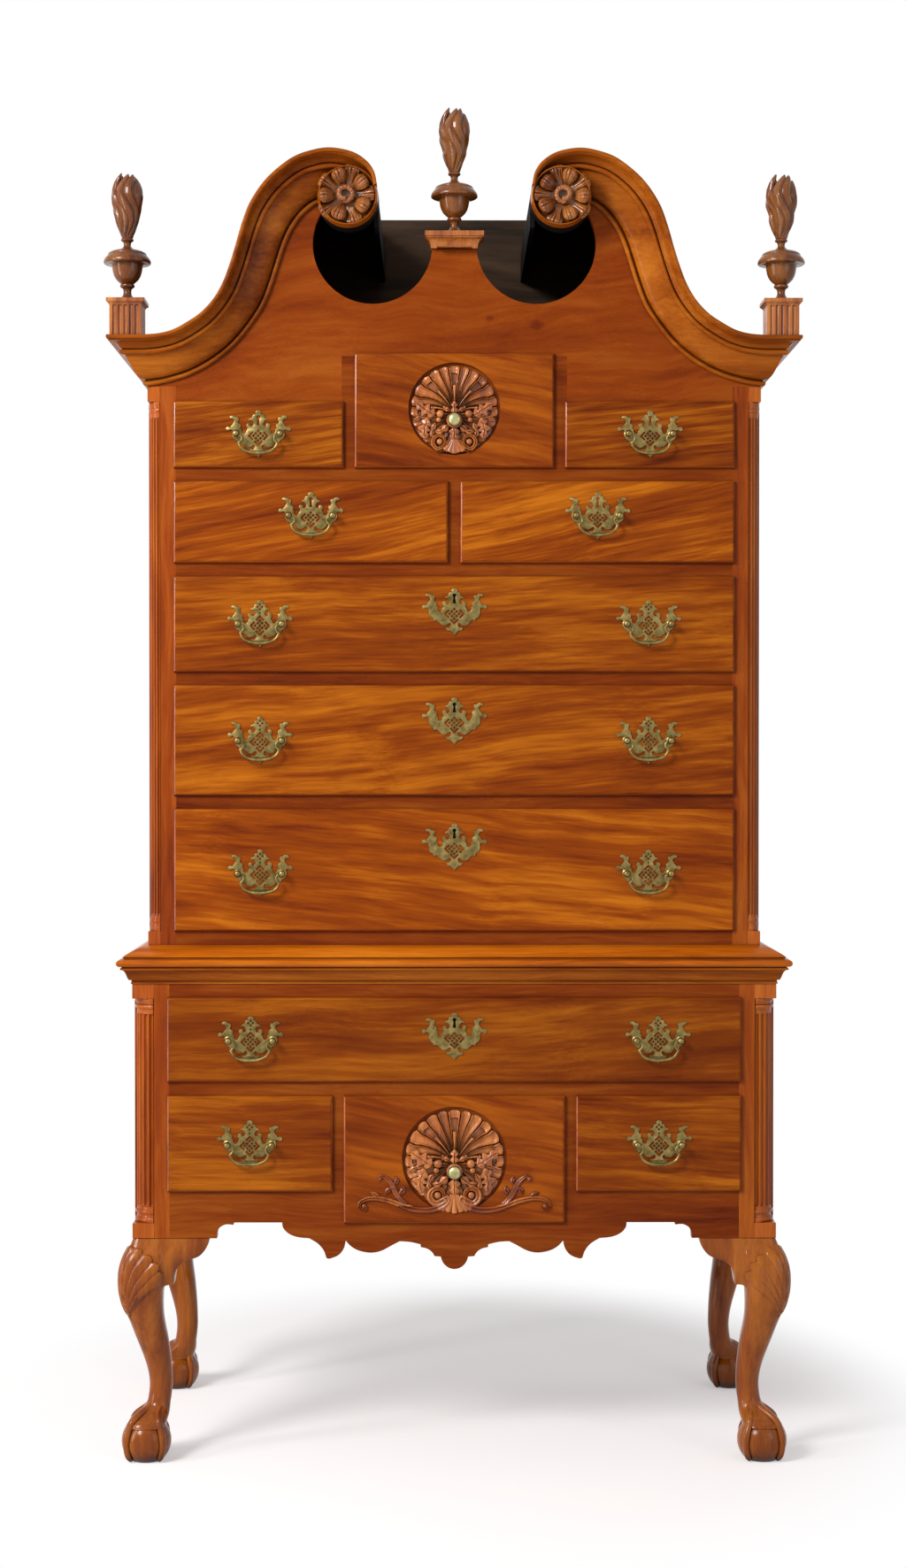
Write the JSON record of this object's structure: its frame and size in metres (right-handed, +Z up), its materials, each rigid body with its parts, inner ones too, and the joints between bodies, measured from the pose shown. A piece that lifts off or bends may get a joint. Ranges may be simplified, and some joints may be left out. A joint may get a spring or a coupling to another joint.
{
  "type": "highboy",
  "caption": "Tall chest on a cabriole-legged base, with rows of lipped drawers on swinging bail pulls, a scrolled bonnet top with urn finials and carved shells.",
  "frame": {"origin": "on the floor, under the centre of the bounding box", "axes": "+Z up, the drawer fronts face -Y, +X to the right of a person who looks at the fronts"},
  "size_m": [1.2006, 0.608, 2.3438],
  "materials": {
    "case_wood": "polished mahogany, aged orange-brown",
    "drawer_fronts": "polished ribbon-figured mahogany front on a plain wood box",
    "carved_wood": "carved mahogany, dark in the hollows",
    "inner_wood": "dark stained secondary wood",
    "brass": "aged satin brass"
  },
  "bodies": {
    "case": {"upper_side_right": "case_wood", "upper_side_left": "case_wood", "upper_column_right": "case_wood", "upper_column_left": "case_wood", "upper_bottom": "case_wood", "row4_rail": "case_wood", "row3_rail": "case_wood", "row2_rail": "case_wood", "row1_rail": "case_wood", "upper_top_board": "inner_wood", "tympanum": "case_wood", "bonnet_roof_right": "inner_wood", "bonnet_roof_left": "inner_wood", "upper_back": "inner_wood", "cornice_right": "case_wood", "cornice_left": "case_wood", "rosette_right": "carved_wood", "rosette_left": "carved_wood", "finial_centre": "carved_wood", "finial_right": "carved_wood", "finial_left": "carved_wood", "waist_moulding": "case_wood", "lower_top_rail": "case_wood", "lower_mid_rail": "case_wood", "lower_back": "inner_wood", "apron": "case_wood", "lower_side_right": "case_wood", "lower_side_left": "case_wood", "lower_column_right": "case_wood", "lower_column_left": "case_wood", "leg_front_right": "case_wood", "leg_front_left": "case_wood", "leg_back_right": "case_wood", "leg_back_left": "case_wood"},
    "drawer_row1_right": {"drawer_row1_right": "drawer_fronts"},
    "drawer_row1_left": {"drawer_row1_left": "drawer_fronts"},
    "drawer_row1_centre": {"drawer_row1_centre": "drawer_fronts"},
    "drawer_row2_right": {"drawer_row2_right": "drawer_fronts"},
    "drawer_row2_left": {"drawer_row2_left": "drawer_fronts"},
    "drawer_row3": {"drawer_row3": "drawer_fronts"},
    "drawer_row4": {"drawer_row4": "drawer_fronts"},
    "drawer_row5": {"drawer_row5": "drawer_fronts"},
    "drawer_row6": {"drawer_row6": "drawer_fronts"},
    "drawer_row7_right": {"drawer_row7_right": "drawer_fronts"},
    "drawer_row7_left": {"drawer_row7_left": "drawer_fronts"},
    "drawer_row7_centre": {"drawer_row7_centre": "drawer_fronts"},
    "bail_row1_right": {"bail_row1_right": "brass"},
    "bail_row1_left": {"bail_row1_left": "brass"},
    "bail_row2_right": {"bail_row2_right": "brass"},
    "bail_row2_left": {"bail_row2_left": "brass"},
    "bail_row3_right": {"bail_row3_right": "brass"},
    "bail_row3_left": {"bail_row3_left": "brass"},
    "bail_row4_right": {"bail_row4_right": "brass"},
    "bail_row4_left": {"bail_row4_left": "brass"},
    "bail_row5_right": {"bail_row5_right": "brass"},
    "bail_row5_left": {"bail_row5_left": "brass"},
    "bail_row6_right": {"bail_row6_right": "brass"},
    "bail_row6_left": {"bail_row6_left": "brass"},
    "bail_row7_right": {"bail_row7_right": "brass"},
    "bail_row7_left": {"bail_row7_left": "brass"}
  },
  "joints": [
    {"name": "row1_right_slide", "type": "slide", "parent": "case", "child": "drawer_row1_right", "axis": [0, -1, 0], "range_m": [0, 0.36]},
    {"name": "row1_left_slide", "type": "slide", "parent": "case", "child": "drawer_row1_left", "axis": [0, -1, 0], "range_m": [0, 0.36]},
    {"name": "row1_centre_slide", "type": "slide", "parent": "case", "child": "drawer_row1_centre", "axis": [0, -1, 0], "range_m": [0, 0.36]},
    {"name": "row2_right_slide", "type": "slide", "parent": "case", "child": "drawer_row2_right", "axis": [0, -1, 0], "range_m": [0, 0.36]},
    {"name": "row2_left_slide", "type": "slide", "parent": "case", "child": "drawer_row2_left", "axis": [0, -1, 0], "range_m": [0, 0.36]},
    {"name": "row3_slide", "type": "slide", "parent": "case", "child": "drawer_row3", "axis": [0, -1, 0], "range_m": [0, 0.36]},
    {"name": "row4_slide", "type": "slide", "parent": "case", "child": "drawer_row4", "axis": [0, -1, 0], "range_m": [0, 0.36]},
    {"name": "row5_slide", "type": "slide", "parent": "case", "child": "drawer_row5", "axis": [0, -1, 0], "range_m": [0, 0.36]},
    {"name": "row6_slide", "type": "slide", "parent": "case", "child": "drawer_row6", "axis": [0, -1, 0], "range_m": [0, 0.38]},
    {"name": "row7_right_slide", "type": "slide", "parent": "case", "child": "drawer_row7_right", "axis": [0, -1, 0], "range_m": [0, 0.38]},
    {"name": "row7_left_slide", "type": "slide", "parent": "case", "child": "drawer_row7_left", "axis": [0, -1, 0], "range_m": [0, 0.38]},
    {"name": "row7_centre_slide", "type": "slide", "parent": "case", "child": "drawer_row7_centre", "axis": [0, -1, 0], "range_m": [0, 0.38]},
    {"name": "bail_row1_right_swing", "type": "hinge", "parent": "drawer_row1_right", "child": "bail_row1_right", "pos_m": [0.3385, -0.25329, 1.776], "axis": [-1, 0, 0], "range_deg": [0, 120]},
    {"name": "bail_row1_left_swing", "type": "hinge", "parent": "drawer_row1_left", "child": "bail_row1_left", "pos_m": [-0.3385, -0.25329, 1.776], "axis": [-1, 0, 0], "range_deg": [0, 120]},
    {"name": "bail_row2_right_swing", "type": "hinge", "parent": "drawer_row2_right", "child": "bail_row2_right", "pos_m": [0.248, -0.25329, 1.635], "axis": [-1, 0, 0], "range_deg": [0, 120]},
    {"name": "bail_row2_left_swing", "type": "hinge", "parent": "drawer_row2_left", "child": "bail_row2_left", "pos_m": [-0.248, -0.25329, 1.635], "axis": [-1, 0, 0], "range_deg": [0, 120]},
    {"name": "bail_row3_right_swing", "type": "hinge", "parent": "drawer_row3", "child": "bail_row3_right", "pos_m": [0.336, -0.25329, 1.4485], "axis": [-1, 0, 0], "range_deg": [0, 120]},
    {"name": "bail_row3_left_swing", "type": "hinge", "parent": "drawer_row3", "child": "bail_row3_left", "pos_m": [-0.336, -0.25329, 1.4485], "axis": [-1, 0, 0], "range_deg": [0, 120]},
    {"name": "bail_row4_right_swing", "type": "hinge", "parent": "drawer_row4", "child": "bail_row4_right", "pos_m": [0.336, -0.25329, 1.24725], "axis": [-1, 0, 0], "range_deg": [0, 120]},
    {"name": "bail_row4_left_swing", "type": "hinge", "parent": "drawer_row4", "child": "bail_row4_left", "pos_m": [-0.336, -0.25329, 1.24725], "axis": [-1, 0, 0], "range_deg": [0, 120]},
    {"name": "bail_row5_right_swing", "type": "hinge", "parent": "drawer_row5", "child": "bail_row5_right", "pos_m": [0.336, -0.25329, 1.01725], "axis": [-1, 0, 0], "range_deg": [0, 120]},
    {"name": "bail_row5_left_swing", "type": "hinge", "parent": "drawer_row5", "child": "bail_row5_left", "pos_m": [-0.336, -0.25329, 1.01725], "axis": [-1, 0, 0], "range_deg": [0, 120]},
    {"name": "bail_row6_right_swing", "type": "hinge", "parent": "drawer_row6", "child": "bail_row6_right", "pos_m": [0.351, -0.27829, 0.731], "axis": [-1, 0, 0], "range_deg": [0, 120]},
    {"name": "bail_row6_left_swing", "type": "hinge", "parent": "drawer_row6", "child": "bail_row6_left", "pos_m": [-0.351, -0.27829, 0.731], "axis": [-1, 0, 0], "range_deg": [0, 120]},
    {"name": "bail_row7_right_swing", "type": "hinge", "parent": "drawer_row7_right", "child": "bail_row7_right", "pos_m": [0.35275, -0.27829, 0.5515], "axis": [-1, 0, 0], "range_deg": [0, 120]},
    {"name": "bail_row7_left_swing", "type": "hinge", "parent": "drawer_row7_left", "child": "bail_row7_left", "pos_m": [-0.35275, -0.27829, 0.5515], "axis": [-1, 0, 0], "range_deg": [0, 120]}
  ]
}
